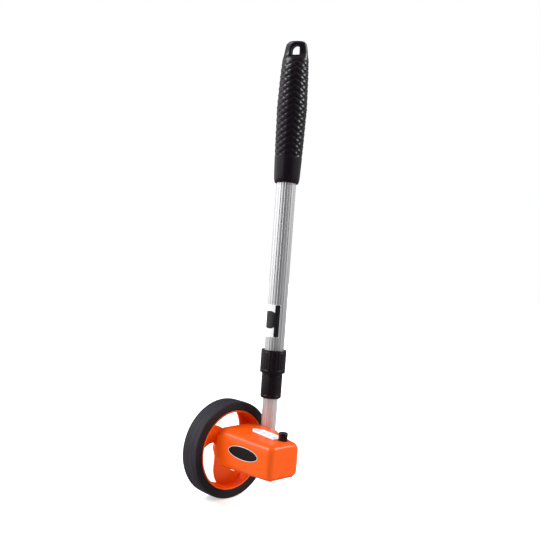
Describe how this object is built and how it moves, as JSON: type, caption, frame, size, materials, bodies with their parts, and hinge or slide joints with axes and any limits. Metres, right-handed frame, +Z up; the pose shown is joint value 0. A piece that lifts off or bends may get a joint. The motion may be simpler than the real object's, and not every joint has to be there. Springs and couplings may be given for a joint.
{
  "type": "measuring_wheel",
  "caption": "Pocket measuring wheel with a rubber-tyred spoked wheel, a geared counter in a tapered housing, and a telescoping pole with twist collars and a grip.",
  "frame": {"origin": "bottom centre of the bounding box, on the ground line under the wheel", "axes": "+Y along the axle from the wheel to the counter housing, +Z up along the pole, +X the side away from the pole"},
  "size_m": [0.097, 0.0928, 0.4623],
  "materials": {
    "tyre_rubber": "matte tread",
    "orange_plastic": "satin moulded",
    "grip_rubber": "satin, diamond texture",
    "black_plastic": "satin",
    "aluminium": "satin, fluted",
    "steel": "plain",
    "brass": "plain",
    "white_plastic": "matte",
    "clear_plastic": "polished"
  },
  "bodies": {
    "housing": {"housing": "orange_plastic", "base_cover": "orange_plastic", "cover_screw_1": "steel", "cover_screw_2": "steel", "cover_screw_3": "steel", "cover_screw_4": "steel", "badge": "black_plastic", "window_lens": "clear_plastic", "counter_mask": "white_plastic", "counter_frame": "steel", "axle_bush_outer": "brass", "axle_bush_inner": "brass", "pinion_shaft": "steel", "reset_spring": "steel", "lower_tube": "aluminium", "lower_tube_plug": "black_plastic", "pole_clamp_screw": "steel"},
    "wheel": {"wheel": "orange_plastic", "tyre": "tyre_rubber", "axle": "steel", "drive_gear": "brass", "wheel_washer": "steel", "wheel_nut": "steel"},
    "inches": {"drum_inches": "white_plastic", "counter_gear": "brass", "counter_shaft": "steel"},
    "feet": {"drum_feet": "white_plastic"},
    "tens": {"drum_tens": "white_plastic"},
    "hundreds": {"drum_hundreds": "white_plastic"},
    "pinion_1": {"transfer_pinion_1": "white_plastic"},
    "pinion_2": {"transfer_pinion_2": "white_plastic"},
    "pinion_3": {"transfer_pinion_3": "white_plastic"},
    "reset": {"reset_button": "black_plastic", "reset_comb": "black_plastic"},
    "middle_pole": {"middle_tube": "aluminium", "middle_tube_plug": "black_plastic", "lower_collet": "white_plastic"},
    "upper_pole": {"outer_tube": "aluminium", "upper_collet": "white_plastic", "tube_label": "white_plastic", "grip": "grip_rubber"},
    "lower_twist": {"lower_collar": "black_plastic"},
    "upper_twist": {"upper_collar": "black_plastic"}
  },
  "joints": [
    {"name": "wheel_spin", "type": "hinge", "parent": "housing", "child": "wheel", "pos_m": [0, -0.0359, 0.0485], "axis": [0, 1, 0], "continuous": true},
    {"name": "inch_drum_turn", "type": "hinge", "parent": "housing", "child": "inches", "pos_m": [-0.007, -0.0359, 0.0587], "axis": [0, 1, 0], "continuous": true},
    {"name": "feet_drum_turn", "type": "hinge", "parent": "housing", "child": "feet", "pos_m": [-0.007, -0.0359, 0.0587], "axis": [0, 1, 0], "continuous": true},
    {"name": "tens_drum_turn", "type": "hinge", "parent": "housing", "child": "tens", "pos_m": [-0.007, -0.0359, 0.0587], "axis": [0, 1, 0], "continuous": true},
    {"name": "hundreds_drum_turn", "type": "hinge", "parent": "housing", "child": "hundreds", "pos_m": [-0.007, -0.0359, 0.0587], "axis": [0, 1, 0], "continuous": true},
    {"name": "pinion_1_turn", "type": "hinge", "parent": "housing", "child": "pinion_1", "pos_m": [-0.01147, -0.0359, 0.05029], "axis": [0, 1, 0], "continuous": true},
    {"name": "pinion_2_turn", "type": "hinge", "parent": "housing", "child": "pinion_2", "pos_m": [-0.01147, -0.0359, 0.05029], "axis": [0, 1, 0], "continuous": true},
    {"name": "pinion_3_turn", "type": "hinge", "parent": "housing", "child": "pinion_3", "pos_m": [-0.01147, -0.0359, 0.05029], "axis": [0, 1, 0], "continuous": true},
    {"name": "reset_press", "type": "slide", "parent": "housing", "child": "reset", "axis": [0, 0, -1], "range_m": [0, 0.0035], "stiffness_N_per_m": 300, "deforming": ["reset_spring"]},
    {"name": "lower_extend", "type": "slide", "parent": "housing", "child": "middle_pole", "axis": [0, 0, 1], "range_m": [0, 0.265]},
    {"name": "upper_extend", "type": "slide", "parent": "middle_pole", "child": "upper_pole", "axis": [0, 0, 1], "range_m": [0, 0.265]},
    {"name": "lower_collar_twist", "type": "hinge", "parent": "middle_pole", "child": "lower_twist", "pos_m": [-0.032, -0.0116, 0.1141], "axis": [0, 0, 1], "range_deg": [0, 90]},
    {"name": "upper_collar_twist", "type": "hinge", "parent": "upper_pole", "child": "upper_twist", "pos_m": [-0.032, -0.0116, 0.1387], "axis": [0, 0, 1], "range_deg": [0, 90]}
  ],
  "couplings": [
    {"joint": "inch_drum_turn", "follows": "wheel_spin", "ratio": -1},
    {"joint": "feet_drum_turn", "follows": "wheel_spin", "ratio": -0.1},
    {"joint": "tens_drum_turn", "follows": "wheel_spin", "ratio": -0.01},
    {"joint": "hundreds_drum_turn", "follows": "wheel_spin", "ratio": -0.001},
    {"joint": "pinion_1_turn", "follows": "wheel_spin", "ratio": 0.25},
    {"joint": "pinion_2_turn", "follows": "wheel_spin", "ratio": 0.025},
    {"joint": "pinion_3_turn", "follows": "wheel_spin", "ratio": 0.0025}
  ]
}
